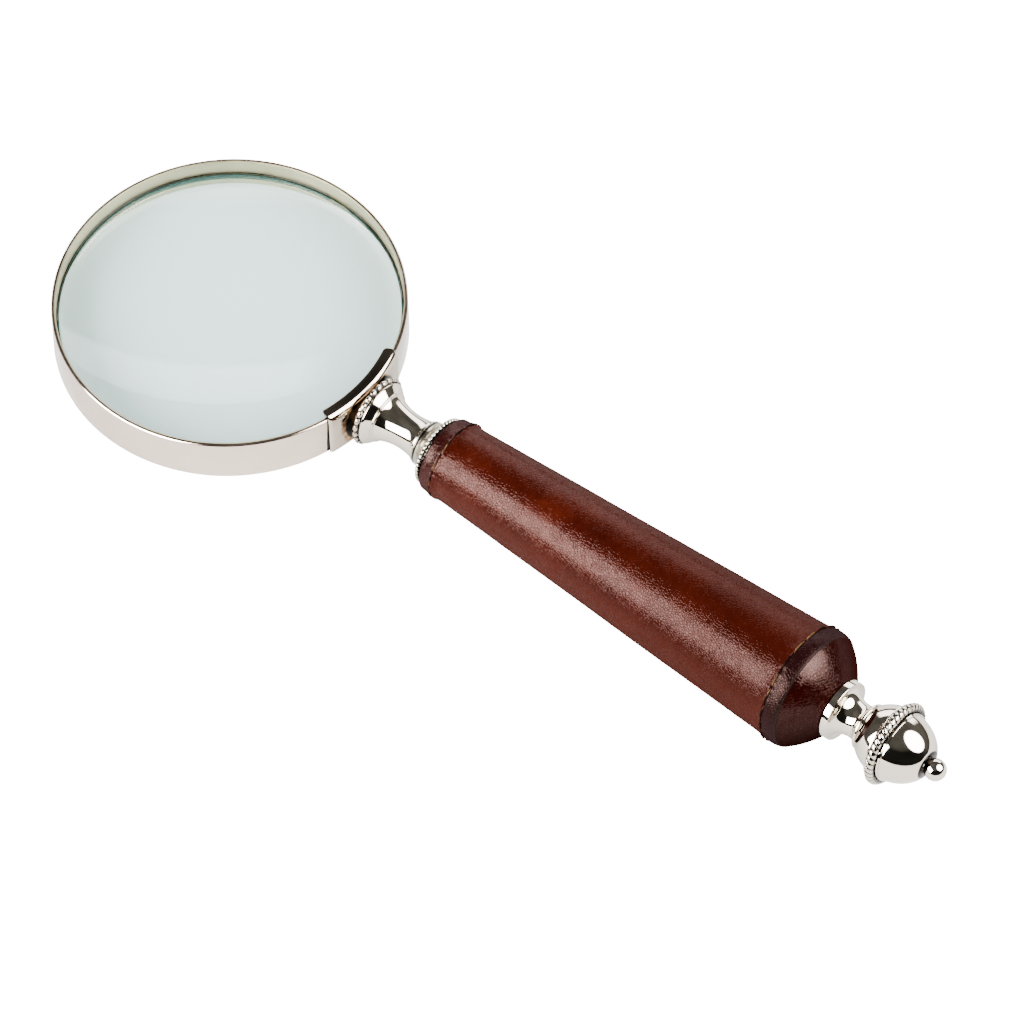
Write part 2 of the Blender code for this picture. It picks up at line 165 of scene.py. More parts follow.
def rod_radius(station):
    return radius_near("tie_rod", station, 50.0)


def saddle_half_angle():
    points = corners("saddle_clip")
    return np.arctan2(points[:, 1], points[:, 0]).max()


def ring_of(node):
    """Station, ring radius and wire radius of a bead ring."""
    reach = span(node)
    wire = (reach.rear - reach.front) / 2
    return (reach.front + reach.rear) / 2, reach.radius - wire, wire


# ---- outlines ----


def bent(start, control, end, count):
    """Points along a quadratic curve from start to end, both included."""
    points = []
    for i in range(count + 1):
        t = i / count
        a, b, c = (1 - t) ** 2, 2 * t * (1 - t), t * t
        points.append(tuple(a * s + b * m + c * e for s, m, e in zip(start, control, end)))
    return points


def oval(centre, length, radius, first, last, count):
    """Points on an ellipse about the axis, spaced evenly in angle between two stations."""
    low, high = (math.acos(max(-1.0, min(1.0, (x - centre) / length))) for x in (first, last))
    angles = [low + (high - low) * i / count for i in range(count + 1)]
    return [(centre + length * math.cos(a), radius * math.sin(a)) for a in angles]


def rounded(outline, radius, closed=False, sharp=math.radians(28)):
    """Round every corner of an outline that turns by more than sharp."""
    points = [np.array(p, float) for p in outline]
    done = []
    for i, here in enumerate(points):
        if not closed and i in (0, len(points) - 1):
            done.append(tuple(here))
            continue
        before, after = points[i - 1] - here, points[(i + 1) % len(points)] - here
        reach = min(np.linalg.norm(before), np.linalg.norm(after))
        if reach < 1e-6:
            continue
        cosine = before @ after / (np.linalg.norm(before) * np.linalg.norm(after))
        if math.pi - math.acos(max(-1.0, min(1.0, cosine))) < sharp:
            done.append(tuple(here))
            continue
        cut = min(radius, 0.45 * reach)
        start = here + before / np.linalg.norm(before) * cut
        end = here + after / np.linalg.norm(after) * cut
        done += bent(start, here, end, 4)
    return done


# ---- meshes ----


def mesh_from_rows(name, rows, along=False, caps=False):
    """A quad mesh through rows of points, each a closed loop. along joins the last row to the first,
    and caps closes the first and last row with a face each."""
    rows = np.asarray(rows, float)
    count, width = rows.shape[:2]
    faces = []
    for i in range(count if along else count - 1):
        low, high = i * width, (i + 1) % count * width
        for j in range(width):
            k = (j + 1) % width
            faces.append((low + j, low + k, high + k, high + j))
    if caps:
        faces.append(tuple(range(width)))
        faces.append(tuple((count - 1) * width + j for j in reversed(range(width))))
    mesh = bpy.data.meshes.new(name)
    mesh.from_pydata((rows.reshape(-1, 3) * MM).tolist(), [], faces)
    return tidied(mesh)


def tidied(mesh, angle=math.radians(32)):
    """Weld, drop empty faces, face outwards and shade smooth with crisp edges."""
    work = bmesh.new()
    work.from_mesh(mesh)
    bmesh.ops.remove_doubles(work, verts=work.verts, dist=2e-6)
    bmesh.ops.dissolve_degenerate(work, edges=work.edges, dist=1e-7)
    bmesh.ops.recalc_face_normals(work, faces=work.faces)
    work.to_mesh(mesh)
    work.free()
    mesh.shade_smooth()
    mesh.set_sharp_from_angle(angle=angle)
    return mesh


def turned(name, outline, steps, closed=False, about="x", shift=None):
    """A surface of revolution through (station, radius) points. shift(station, angle) adds to the
    radius."""
    rows = []
    for station, radius in outline:
        row = []
        for j in range(steps):
            angle = TURN * j / steps
            r = radius + (shift(station, angle) if shift and radius > 0 else 0.0)
            flat = (r * math.cos(angle), r * math.sin(angle))
            row.append((station, flat[1], flat[0]) if about == "x" else (*flat, station))
        rows.append(row)
    return mesh_from_rows(name, rows, along=closed)


def wire_ring(name, station, ring_radius, wire, steps, sides=20, about="x", arc=TURN):
    """A ring of wire. wire(angle, side) gives the wire's radius."""
    rows = []
    whole = arc == TURN
    start = (TURN - arc) / 2
    for i in range(steps):
        angle = start + arc * i / (steps if whole else steps - 1)
        row = []
        for j in range(sides):
            side = TURN * j / sides
            r = wire(angle, side)
            out, up = ring_radius + r * math.cos(side), station + r * math.sin(side)
            flat = (out * math.cos(angle), out * math.sin(angle))
            row.append((up, flat[1], flat[0]) if about == "x" else (*flat, up))
        rows.append(row)
    return mesh_from_rows(name, rows, along=whole, caps=not whole)


def bead_wire(beads, bead, waist):
    """Wire radius of a beaded wire: round beads with a narrow waist between them."""

    def radius(angle, side):
        u = (angle * beads / TURN) % 1.0 * 2 - 1
        return bead * (waist + (1 - waist) * math.sqrt(max(0.0, 1 - u * u)))

    return radius


def bored(outer, bore_radius, corner):
    """A closed outline: the outer profile, its corners rounded, and a straight bore back through it."""
    outer = rounded(outer, corner)
    return [*outer, (outer[-1][0], bore_radius), (outer[0][0], bore_radius)]


# ---- pieces ----


def fit(node, mesh, slot, *materials):
    """Put a fine mesh in place of a CAD node, on the same body."""
    mesh.transform(PLACE)
    piece = bpy.data.objects.new(node + "_fine", mesh)
    bpy.context.scene.collection.objects.link(piece)
    for material in materials:
        mesh.materials.append(material)
    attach(piece, BODY_OF[node])
    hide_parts(node)
    return piece


def keep(node, material):
    """Give a CAD node that stays in view its finish."""
    slots = frame["nodes"][node].data.materials
    slots.clear()
    slots.append(material)


def make_lens():
    """Biconvex lens, with a bevelled edge that is ground all round."""
    points = corners("lens")
    radii = from_lens_axis(points)
    lens_radius, crown = radii.max(), points[:, 2].max()
    edge = points[radii > lens_radius - 0.01, 2].max()
    sag, count, bevel = crown - edge, 44, 0.35
    shares = [i / count for i in range(count + 1)]
    dome = [(edge + sag * (1 - share**2), (lens_radius - bevel) * share) for share in shares]
    side = [(edge - bevel * 0.6, lens_radius), (bevel * 0.6 - edge, lens_radius)]
    outline = [*dome, *side, *((-z, r) for z, r in reversed(dome))]
    mesh = turned("lens_fine", outline, 256, about="z")
    clear_reach = (lens_radius - bevel * 1.2) * MM
    ground = [math.hypot(face.center.x, face.center.y) > clear_reach for face in mesh.polygons]
    fit("lens", mesh, "lens_glass", clear_glass, ground_glass)
    for face, is_ground in zip(mesh.polygons, ground):
        face.material_index = int(is_ground)


def make_rim():
    """Chamfered hoop, a little uneven, whose two ends meet under the saddle."""
    points = corners("rim_band")
    radii = from_lens_axis(points)
    outer, inner, top = radii.max(), radii.min() + 0.05, points[:, 2].max()
    high, wide = top - RIM_CHAMFER, outer - RIM_CHAMFER
    section = [(top, inner), (top, wide), (high, outer), (-high, outer), (-top, wide), (-top, inner)]
    section = rounded(section, 0.1, closed=True)
    half_gap = 0.3 / outer
    steps = 360
    rows = []
    for i in range(steps + 1):
        angle = half_gap + (TURN - 2 * half_gap) * i / steps
        along, across = math.cos(angle), math.sin(angle)
        wave = 0.05 * noise.noise(Vector((along * 2.5, across * 2.5, 0.0)))
        rows.append([((r + wave) * along, (r + wave) * across, z) for z, r in section])
    fit("rim_band", mesh_from_rows("rim_fine", rows, caps=True), "rim_nickel", rim_nickel)


def make_retainers():
    """Thin spring rings, open by 8 degrees, that lie on the lens and against the rim."""
    for node in ("lens_retainer_upper", "lens_retainer_lower"):
        points = corners(node)
        low, high = points[:, 2].min(), points[:, 2].max()
        reach = from_lens_axis(points).max()
        cad_wire = (high - low) / 2
        middle = (high + low) / 2
        wire = 0.3 * cad_wire
        station = middle - math.copysign(cad_wire - wire, middle)
        arc = math.radians(352)
        mesh = wire_ring(node + "_mesh", station, reach - wire, lambda a, s: wire, 240, 12, "z", arc)
        mesh.transform(Matrix.Rotation(math.radians(90), 4, "Z"))
        fit(node, mesh, "rim_nickel", dark_wire)


def lip_edge(angle, half_angle, outer):
    """Radius of the lip's inner edge, which rounds off at both ends."""
    edge = LIP_RADIUS
    left = (half_angle - abs(angle)) * outer
    if left < LIP_END_ROUND:
        edge += LIP_END_ROUND - math.sqrt(max(0.0, LIP_END_ROUND**2 - (LIP_END_ROUND - left) ** 2))
    return edge


def make_saddle():
    """Folded sheet: a flat lip over the lens, a sloped shoulder, and a plate that thins at both ends."""
    points = corners("saddle_clip")
    half_angle = saddle_half_angle()
    radius = from_lens_axis(points).max()
    top, bottom = points[:, 2].max(), points[:, 2].min()
    bend = top - SADDLE_BEND
    under = top - NICKEL_SHEET
    inner = radius - NICKEL_SHEET
    rows = []
    steps = 96
    for i in range(steps + 1):
        t = 2 * i / steps - 1
        angle = half_angle * math.copysign(1 - (1 - abs(t)) ** 1.6, t)
        left = (half_angle - abs(angle)) * radius
        outer = radius - 0.55 * max(0.0, 1 - left / 0.8) ** 2
        lip = lip_edge(angle, half_angle, radius)
        flat = max(LIP_RADIUS + LIP_FLAT, lip + 0.5)
        shoulder = flat + 0.6 * (outer - flat)
        outside = [
            *bent((under + 0.12, lip + 0.02), (under + 0.1, lip), (under + 0.35, lip), 3),
            *bent((top - 0.25, lip), (top, lip), (top, lip + 0.3), 4),
            (top, (lip + flat) / 2),
            *bent((top, flat), (top, (flat + shoulder) / 2), (top - 0.62, shoulder), 10),
            *bent((top - 0.62, shoulder), (top - 1.5, outer), (bend, outer), 10)[1:],
            *[(bend + (bottom - bend) * k / 6, outer) for k in range(1, 6)],
            *bent((bottom + 0.25, outer), (bottom, outer), (bottom, outer - 0.15), 3),
        ]
        inside = [
            (bottom, inner + 0.05),
            (bottom + 0.05, inner),
            (under - 0.6, inner),
            (under, inner - 0.6),
            (under, (lip + inner) / 2),
        ]
        rows.append([(r * math.cos(angle), r * math.sin(angle), z) for z, r in [*outside, *inside]])
    fit("saddle_clip", mesh_from_rows("saddle_fine", rows, caps=True), "polished_nickel", saddle_nickel)


def make_bell():
    """Bell with a cup, a ridge and a long neck, and the beaded ring at its mouth."""
    bell = span("bell_ferrule")
    station, ring, bead = ring_of("bell_bead_ring")
    mouth = station + bead + 0.08
    bore = rod_radius(bell.rear) + BORE_GAP
    seat = ring - bead
    outline = [
        (bell.front, seat),
        (mouth, seat),
        (mouth, ring - 0.25),
        (mouth + 0.5, ring - 0.1),
        *bent((mouth + 0.9, ring - 0.3), (mouth + 1.7, ring - 1.0), (mouth + 2.5, ring - 1.8), 10),
        *bent((mouth + 2.52, ring - 1.85), (mouth + 2.8, ring - 1.65), (mouth + 3.0, ring - 2.1), 6),
        *bent((mouth + 3.05, ring - 2.35), (mouth + 6.0, ring - 4.0), (mouth + 10.2, ring - 4.0), 28),
        *bent((mouth + 10.9, ring - 3.98), (bell.rear - 2.0, ring - 3.85), (bell.rear - 0.5, ring - 3.3), 12),
        (bell.rear - 0.45, ring - 3.05),
        (bell.rear, ring - 3.0),
    ]
    mesh = turned("bell_fine", bored(outline, bore, 0.12), TURNED_STEPS, closed=True)
    fit("bell_ferrule", mesh, "polished_nickel", nickel)
    wire = bead_wire(BELL_BEADS, bead * 0.92, 0.2)
    beads = wire_ring("bell_beads", station + 0.2 * bead, ring + 0.1 * bead, wire, BELL_BEADS * 18)
    fit("bell_bead_ring", beads, "polished_nickel", bell_bead_nickel)


def make_collar():
    """Cove-shaped collar with a beaded ring against the leather."""
    collar = span("beaded_collar")
    station, ring, bead = ring_of("collar_bead_ring")
    bore = rod_radius(collar.front) + BORE_GAP
    lip = station - bead - 0.1
    throat = radius_near("bell_ferrule", span("bell_ferrule").rear)
    outline = [
        (collar.front, throat + 0.35),
        (collar.front + 0.15, throat + 0.6),
        (collar.front + 0.4, throat + 0.5),
        *bent((collar.front + 0.6, throat + 0.55), (lip - 0.9, throat + 0.9), (lip, ring - 0.15), 16),
        (lip + 0.12, ring - 0.1),
        (lip + 0.12, ring - bead),
        (collar.rear, ring - bead),
    ]
    mesh = turned("collar_fine", bored(outline, bore, 0.1), TURNED_STEPS, closed=True)
    fit("beaded_collar", mesh, "polished_nickel", collar_nickel)
    wire = bead_wire(COLLAR_BEADS, bead * 1.1, 0.2)
    beads = wire_ring("collar_beads", station, ring, wire, COLLAR_BEADS * 12, 16)
    fit("collar_bead_ring", beads, "polished_nickel", collar_bead_nickel)


def seam_station(node):
    reach = span(node)
    return (reach.front + reach.rear) / 2


def stitches_round(radius):
    return round(TURN * radius / STITCH_PITCH)


def hide_shift(seams):
    """Radius shift of stretched hide: slow unevenness, and a pucker at each stitch hole beside a
    seam. seams holds (station, stitch count, seed)."""
    unevenness, pucker_reach = 0.07, 2.6
    hole_depth, hole_width, hole_length = 0.34, 0.55, 0.95
    swell, swell_length = 0.12, 1.5
    mean_radius = 12.0

    def shift(station, angle):
        place = Vector((station * 0.055, math.cos(angle) * 1.1, math.sin(angle) * 1.1))
        total = unevenness * noise.noise(place) + 0.4 * unevenness * noise.noise(place * 3.7)
        for seam, count, seed in seams:
            away = abs(station - seam)
            if away > pucker_reach:
                continue
            share = angle / TURN * count + seed
            off = (share - round(share)) / count * TURN * mean_radius
            total -= hole_depth * math.exp(-((off / hole_width) ** 2) - (away / hole_length) ** 2)
            total += swell * math.sin(share * TURN + 1.0) * math.exp(-((away / swell_length) ** 2))
        return total

    return shift


def stations_between(front, rear, fine=0.14, coarse=1.3, reach=3.0):
    """Stations from front to rear, close together near both ends."""
    stations = [front]
    while stations[-1] < rear:
        here = stations[-1]
        near = min(reach, here - front, rear - here)
        stations.append(here + fine + (coarse - fine) * max(0.0, near) / reach)
    stations[-1] = rear
    return stations


def seam_ridge(station, seam):
    return SEAM_RIDGE * math.exp(-(((station - seam) / 1.25) ** 2))


def make_leather():
    """The leather parts. Returns the two seams, for make_stitches."""
    sleeve, front_band = span("leather_sleeve"), span("front_leather_band")
    rear_band, cap = span("rear_leather_band"), span("butt_leather_cap")
    front_radius = radius_near("leather_sleeve", sleeve.front)
    rear_radius = radius_near("leather_sleeve", sleeve.rear)
    taper = (rear_radius - front_radius) / (sleeve.rear - sleeve.front)
    front_seam, rear_seam = seam_station("front_seam_thread"), seam_station("rear_seam_thread")
    front_count, rear_count = stitches_round(front_radius), stitches_round(rear_radius)
    shift = hide_shift([(front_seam, front_count, FRONT_SEAM_SEED), (rear_seam, rear_count, REAR_SEAM_SEED)])

    def taper_radius(x):
        return front_radius + (x - sleeve.front) * taper

    def hide_radius(x):
        return taper_radius(x) + seam_ridge(x, front_seam) + 0.9 * seam_ridge(x, rear_seam)

    def band_radius(x):
        return hide_radius(x) + 0.12

    def burnished_radius(x):
        share = (x - rear_seam) / (rear_band.rear - rear_seam)
        return rear_band.radius + 0.02 - 0.5 * share**4

    def strip(node, start, end, radius, material, slot="grip_leather"):
        """A sleeve of hide from start to end, with rolled edges. radius(x) is its outer radius."""
        roll, tuck = 0.35, 0.55
        first, last = start + roll, end - roll
        outline = [
            (start + 0.02, taper_radius(start) - HIDE),
            *bent((start, radius(start) - tuck), (start, radius(start)), (first, radius(first)), 5),
            *[(x, radius(x)) for x in stations_between(first, last)[1:-1]],
            *bent((last, radius(last)), (end, radius(end)), (end, radius(end) - tuck), 5),
            (end - 0.02, taper_radius(end) - HIDE),
        ]
        fit(node, turned(node + "_mesh", outline, HIDE_STEPS, closed=True, shift=shift), slot, material)

    strip("leather_sleeve", front_seam + SEAM_GROOVE, rear_seam - SEAM_GROOVE, hide_radius, leather)
    strip("front_leather_band", front_band.front, front_seam - SEAM_GROOVE, band_radius, band_leather)
    start, end = rear_seam + SEAM_GROOVE, rear_band.rear + 0.12
    strip("rear_leather_band", start, end, burnished_radius, burnished_leather, "burnished_leather")

    nose = cap.rear - 0.05
    cap_end = span("finial_spool").radius - 0.5
    hole = span("butt_washer").radius + 0.2
    dome = bent((cap.front, cap.radius), (cap.front + 3.7, cap.radius - 2.4), (nose, cap_end), 36)
    inner = bent((cap.front, cap.radius - HIDE), (cap.front + 3.1, cap.radius - 3.6), (nose - 0.8, 6.4), 12)
    outline = [*dome, (nose + 0.02, hole), (nose - 0.8, hole), *reversed(inner)]
    mesh = turned("cap_fine", outline, 240, closed=True, shift=hide_shift([]))
    fit("butt_leather_cap", mesh, "grip_leather", cap_leather)

    return [
        ("front_seam_thread", front_seam, hide_radius(front_seam) + 0.02, front_count, FRONT_SEAM_SEED),
        ("rear_seam_thread", rear_seam, hide_radius(rear_seam) + 0.1, rear_count, REAR_SEAM_SEED),
    ]


def make_stitches(node, seam, radius, count, seed):
    """Running stitches laid in the seam, each dipping into the hide at its two holes."""
    points, faces = [], []
    sides, length = 8, 22
    gap, sink, dip, twist = 0.07, 0.06, 0.6, 26.0
    for k in range(count):
        lean = 0.16 * noise.noise(Vector((k * 1.7, seed * 9.0, 0.0)))
        for i in range(length + 1):
            t = i / length
            angle = TURN * (k - seed + gap + (1 - 2 * gap) * t) / count
            lift = radius - sink - dip * (2 * abs(t - 0.5)) ** 6
            slide = lean * (t - 0.5) * 2
            for j in range(sides):
                side = TURN * j / sides
                ply = 1.0 + 0.22 * math.cos(2 * (side - t * twist))
                thick = THREAD_RADIUS * ply * (0.55 + 0.45 * min(1.0, 5 * min(t, 1 - t)))
                r = lift + thick * math.cos(side)
                along = seam + slide + thick * math.sin(side)
                points.append((along, r * math.sin(angle), r * math.cos(angle)))
        base = k * (length + 1) * sides
        for i in range(length):
            for j in range(sides):
                a, b = base + i * sides + j, base + i * sides + (j + 1) % sides
                faces.append((a, b, b + sides, a + sides))
        faces.append(tuple(base + j for j in reversed(range(sides))))
        faces.append(tuple(base + length * sides + j for j in range(sides)))
    mesh = bpy.data.meshes.new(node + "_mesh")
    mesh.from_pydata((np.array(points) * MM).tolist(), [], faces)
    fit(node, tidied(mesh), "waxed_thread", thread)


def make_finial():
    """Spool, neck ring, the ball's two shells with their notched band, and the tip."""
    spool = span("finial_spool")
    bore = span("tie_rod").radius + BORE_GAP
    neck_station, neck_ring, neck_wire = ring_of("finial_neck_ring")
    neck_front = neck_station - neck_wire
    spigot = neck_ring - neck_wire
    foot = spool.front + FLANGE
    outline = [
        (spool.front, spool.radius),
        (foot, spool.radius),
        (foot + 0.08, spool.radius - 1.0),
        *bent(
            (foot + 0.12, spool.radius - 1.1),
            (foot + 1.5, spool.radius - 3.55),
            (spool.front + 6.6, spool.radius - 3.45),
            22,
        ),
        *bent(
            (spool.front + 7.2, spool.radius - 3.4),
            (neck_front - 0.6, spool.radius - 3.2),
            (neck_front - 0.1, neck_ring - 0.3),
            10,
        ),
        (neck_front, spigot),
        (spool.rear, spigot),
    ]
    mesh = turned("spool_fine", bored(outline, bore, 0.22), TURNED_STEPS, closed=True)
    fit("finial_spool", mesh, "polished_nickel", nickel)
    ring = wire_ring("neck_ring_fine", neck_station, neck_ring, lambda a, s: neck_wire, 160, 24)
    fit("finial_neck_ring", ring, "polished_nickel", nickel)

    lower, upper = span("finial_lower_shell"), span("finial_upper_shell")
    band_station, band_ring, band_wire = ring_of("finial_bead_band")
    centre = band_station - 0.15
    ball, wall = upper.radius, NICKEL_SHEET
    front_length, rear_length = 11.0, 11.9
    hole = 1.95
    flange_rear = band_station - ROPE_HALF_WIDTH - 0.05
    flange_front = flange_rear - 0.45
    outline = [
        *oval(centre, front_length, ball, lower.front, flange_front, 26),
        (flange_front, lower.radius),
        (flange_rear, lower.radius),
        *reversed(oval(centre, front_length - wall, ball - wall, lower.front, flange_rear, 16)),
    ]
    mesh = turned("lower_shell_fine", rounded(outline, 0.15, closed=True), TURNED_STEPS, closed=True)
    fit("finial_lower_shell", mesh, "polished_nickel", nickel)

    seat = band_station + ROPE_HALF_WIDTH + 0.1
    step = seat + 0.62
    end_radius = oval(centre, rear_length, ball, upper.rear, upper.rear, 1)[0][1]
    outline = [
        (seat, ball + 0.15),
        (seat + 0.15, ball + 0.22),
        (step, ball + 0.14),
        (step + 0.04, ball - 0.18),
        *oval(centre, rear_length, ball, step + 0.14, upper.rear, 40),
        *bent((upper.rear + 0.02, end_radius - 0.05), (upper.rear + 0.5, 3.5), (upper.rear + 0.6, hole), 8),
        (upper.rear, hole),
        *reversed(oval(centre, rear_length - wall, ball - wall, seat, upper.rear - 0.7, 20)),
    ]
    mesh = turned("upper_shell_fine", outline, TURNED_STEPS, closed=True)
    fit("finial_upper_shell", mesh, "polished_nickel", ball_nickel)
    fit("finial_bead_band", rope_band(band_station, band_ring, band_wire), "polished_nickel", band_nickel)

    tip = span("finial_tip")
    tip_centre = tip.rear - tip.radius
    neck = 1.9
    start = tip_centre - math.sqrt(tip.radius**2 - neck**2)
    ball_outline = oval(tip_centre, tip.radius, tip.radius, start, tip.rear, 28)
    outline = [
        (tip.front, 0.0),
        (tip.front, neck),
        (upper.rear + 0.3, neck),
        *ball_outline[:-1],
        (tip.rear, 0.0),
    ]
    fit("finial_tip", turned("tip_fine", outline, 128), "polished_nickel", nickel)


def rope_band(station, ring, wire):
    """Band of an oval section, cut all round with slanted notches."""
    rows = []
    per_lobe, sides = 12, 20
    notch_depth = 0.34
    for i in range(FINIAL_LOBES * per_lobe):
        angle = TURN * i / (FINIAL_LOBES * per_lobe)
        row = []
        for j in range(sides):
            side = TURN * j / sides
            slant = 0.5 * math.sin(side)
            u = abs(((i / per_lobe + slant) % 1.0) * 2 - 1)
            lobe = 1 - notch_depth * u**4
            out = ring + wire * lobe * math.cos(side)
            along = station + ROPE_HALF_WIDTH * (0.8 + 0.2 * lobe) * math.sin(side)
            row.append((along, out * math.sin(angle), out * math.cos(angle)))
        rows.append(row)
    return mesh_from_rows("bead_band_fine", rows, along=True)


# ---- materials ----


class Graph:
    """A node tree. Node inputs take a plain value or another node's output, and are given by name,
    with _ for a space, or as i0, i1 and so on by number."""

    def __init__(self, owner, kind="Material"):
        self.owner = bpy.data.materials.new(owner) if isinstance(owner, str) else owner
        self.owner.use_nodes = True
        self.tree = self.owner.node_tree
        self.tree.nodes.clear()
        self.output = self.tree.nodes.new("ShaderNodeOutput" + kind)

    def add(self, kind, settings=None, **inputs):
        node = self.tree.nodes.new("ShaderNode" + kind)
        for key, value in (settings or {}).items():
            setattr(node, key, value)
        for key, value in inputs.items():
            by_number = key[0] == "i" and key[1:].isdigit()
            socket = node.inputs[int(key[1:]) if by_number else key.replace("_", " ")]
            if isinstance(value, bpy.types.NodeSocket):
                self.tree.links.new(value, socket)
            else:
                socket.default_value = value
        return node

    def place(self):
        """Coordinates in the handle's frame, in metres."""
        row = self.add("TexCoord").outputs["Object"]
        turned_by = tuple(PLACE.to_euler())
        mapping = self.add(
            "Mapping", {"vector_type": "TEXTURE"}, Vector=row, Location=tuple(LENS_CENTRE), Rotation=turned_by
        )
        return mapping.outputs[0]

    def stretched(self, x, y, z):
        return self.add("Mapping", Vector=self.place(), Scale=(x, y, z)).outputs[0]

    def axes(self, vector=None):
        """The x, y and z of a vector, or else of the place."""
        return self.add("SeparateXYZ", i0=vector or self.place()).outputs

    def noise(self, scale, detail=3.0, roughness=0.5, vector=None):
        vector = vector or self.place()
        return self.add("TexNoise", Vector=vector, Scale=scale, Detail=detail, Roughness=roughness).outputs[0]

    def cells(self, feature, scale):
        node = self.add("TexVoronoi", {"feature": feature}, Vector=self.place(), Scale=scale)
        return node.outputs["Distance"]

    def maths(self, operation, *values):
        inputs = {f"i{k}": v for k, v in enumerate(values)}
        return self.add("Math", {"operation": operation}, **inputs).outputs[0]

    def product(self, first, *others):
        for other in others:
            first = self.maths("MULTIPLY", first, other)
        return first

    def length(self, a, b):
        """Length of the flat vector (a, b)."""
        return self.maths("SQRT", self.maths("ADD", self.product(a, a), self.product(b, b)))

    def spread(self, value, low, high, to_low=0.0, to_high=1.0):
        """A smooth step from to_low, at low, to to_high, at high."""
        inputs = {"i0": value, "i1": low, "i2": high, "i3": to_low, "i4": to_high}
        return self.add("MapRange", {"interpolation_type": "SMOOTHSTEP"}, **inputs).outputs[0]

    def ramp(self, value, *stops):
        node = self.add("ValToRGB", i0=value)
        elements = node.color_ramp.elements
        while len(elements) < len(stops):
            elements.new(0.5)
        for element, (position, colour) in zip(elements, stops):
            element.position = position
            element.color = (*colour, 1.0)
        return node.outputs[0]

    def blend(self, factor, first, second):
        first, second = ((*c, 1.0) if isinstance(c, tuple) and len(c) == 3 else c for c in (first, second))
        return self.add("Mix", {"data_type": "RGBA"}, i0=factor, i6=first, i7=second).outputs[2]

    def bump(self, height, distance, strength=1.0, normal=None):
        inputs = {"Height": height, "Distance": distance, "Strength": strength}
        if normal is not None:
            inputs["Normal"] = normal
        return self.add("Bump", **inputs).outputs[0]

    def finish(self, shader):
        self.tree.links.new(shader.outputs[0], self.output.inputs["Surface"])
        return self.owner


def bead_notches(g, place, beads, slant):
    """Mask of painted shade: nearly 1 between the beads of a ring and at their root, 0 on their crowns. beads is
    their count, and the ring's station, radius and wire radius."""
    x, y, z = place
    count, station, ring, wire = beads
    turns = g.maths("MULTIPLY", g.maths("ARCTAN2", y, z), count / TURN)
    lean = g.maths("MULTIPLY_ADD", x, slant / (wire * MM), -slant * station / wire)
    share = g.maths("FRACT", g.maths("ADD", turns, lean))
    edge = g.maths("ABSOLUTE", g.maths("MULTIPLY_ADD", share, 2.0, -1.0))
    notch = g.spread(edge, 0.5, 0.84, 0.0, 0.97)
    root = g.spread(g.length(y, z), (ring - 0.1 * wire) * MM, (ring + 0.45 * wire) * MM, 0.97, 0.0)
    return g.maths("MAXIMUM", notch, root)


def heat_stain_and_shadow(g, place, colour, rough):
    """The saddle's marks: painted shadow in the gap round the bell's mouth, a burnt halo stain beside it, and a
    lip darker along its top, most in the middle.
    """
    x, y, z = place
    ragged = g.maths("ADD", g.length(y, z), g.maths("MULTIPLY", g.noise(330.0, 3.0, 0.6), 0.0022))
    face = g.spread(x, 0.0440, 0.0450)
    below = g.spread(z, (STAIN_AND_SHADOW_TOP + 1.3) * MM, (STAIN_AND_SHADOW_TOP + 1.55) * MM, 1.0, 0.0)
    # Painted shadow: black in the narrow gap between the plate and the bell's bead ring
    painted_shade = g.product(face, below, g.spread(ragged, 0.0102, 0.0109, 1.0, 0.0))
    below = g.spread(z, (STAIN_AND_SHADOW_TOP + 1.5) * MM, (STAIN_AND_SHADOW_TOP + 1.75) * MM, 1.0, 0.0)
    wider = g.maths("ADD", ragged, g.spread(y, 0.0, 0.007, 0.0, 0.0011))
    halo = g.product(face, below, g.spread(wider, 0.0113, 0.0123, 1.0, 0.0))
    light, dark = (0.55, 0.42, 0.26), (0.10, 0.055, 0.022)
    burnt = g.ramp(g.noise(700.0, 3.0, 0.6), (0.3, dark), (0.55, (0.34, 0.20, 0.09)), (0.8, light))
    colour = g.blend(halo, colour, burnt)
    colour = g.blend(painted_shade, colour, (0.012, 0.008, 0.005))
    rough = g.maths("ADD", rough, g.maths("MULTIPLY", halo, 0.25))
    # The lip's top is darker, most in the middle
    lip_top = corners("saddle_clip")[:, 2].max()
    lip_darkening = g.spread(g.maths("ABSOLUTE", y), 0.004, 0.013, 0.75, 0.3)
    lip_darkening = g.product(lip_darkening, g.spread(z, (lip_top - 0.2) * MM, (lip_top - 0.08) * MM))
    return g.blend(lip_darkening, colour, (0.09, 0.08, 0.06)), rough


def rim_painted_shade(g, place, colour, rough):
    """The rim's painted shade: an inner wall that is rougher and painted darker and yellower, as shade and dim
    reflection, and black painted shade in the gap beside the saddle, which widens downwards."""
    x, y, z = place
    reach = from_lens_axis(corners("rim_band")).max() * MM
    # The inner wall is painted darker and yellower, as shade and dim reflection, and made rougher
    inside = g.spread(g.length(x, y), reach - 0.0009, reach - 0.0006, 1.0, 0.0)
    colour = g.blend(inside, colour, (0.42, 0.38, 0.24))
    rough = g.maths("MULTIPLY_ADD", inside, 0.3, rough)
    # Painted shade in the gap beside the saddle's end, wider downwards
    turn = g.maths("ABSOLUTE", g.maths("ARCTAN2", y, x))
    past = g.maths("MULTIPLY", g.maths("SUBTRACT", turn, saddle_half_angle()), reach)
    shade = g.maths("LESS_THAN", past, g.spread(z, -0.007, 0.007, 0.00075, 0.00028))
    colour = g.blend(shade, colour, (0.004, 0.003, 0.002))
    return colour, g.maths("MULTIPLY_ADD", shade, 0.4, rough)


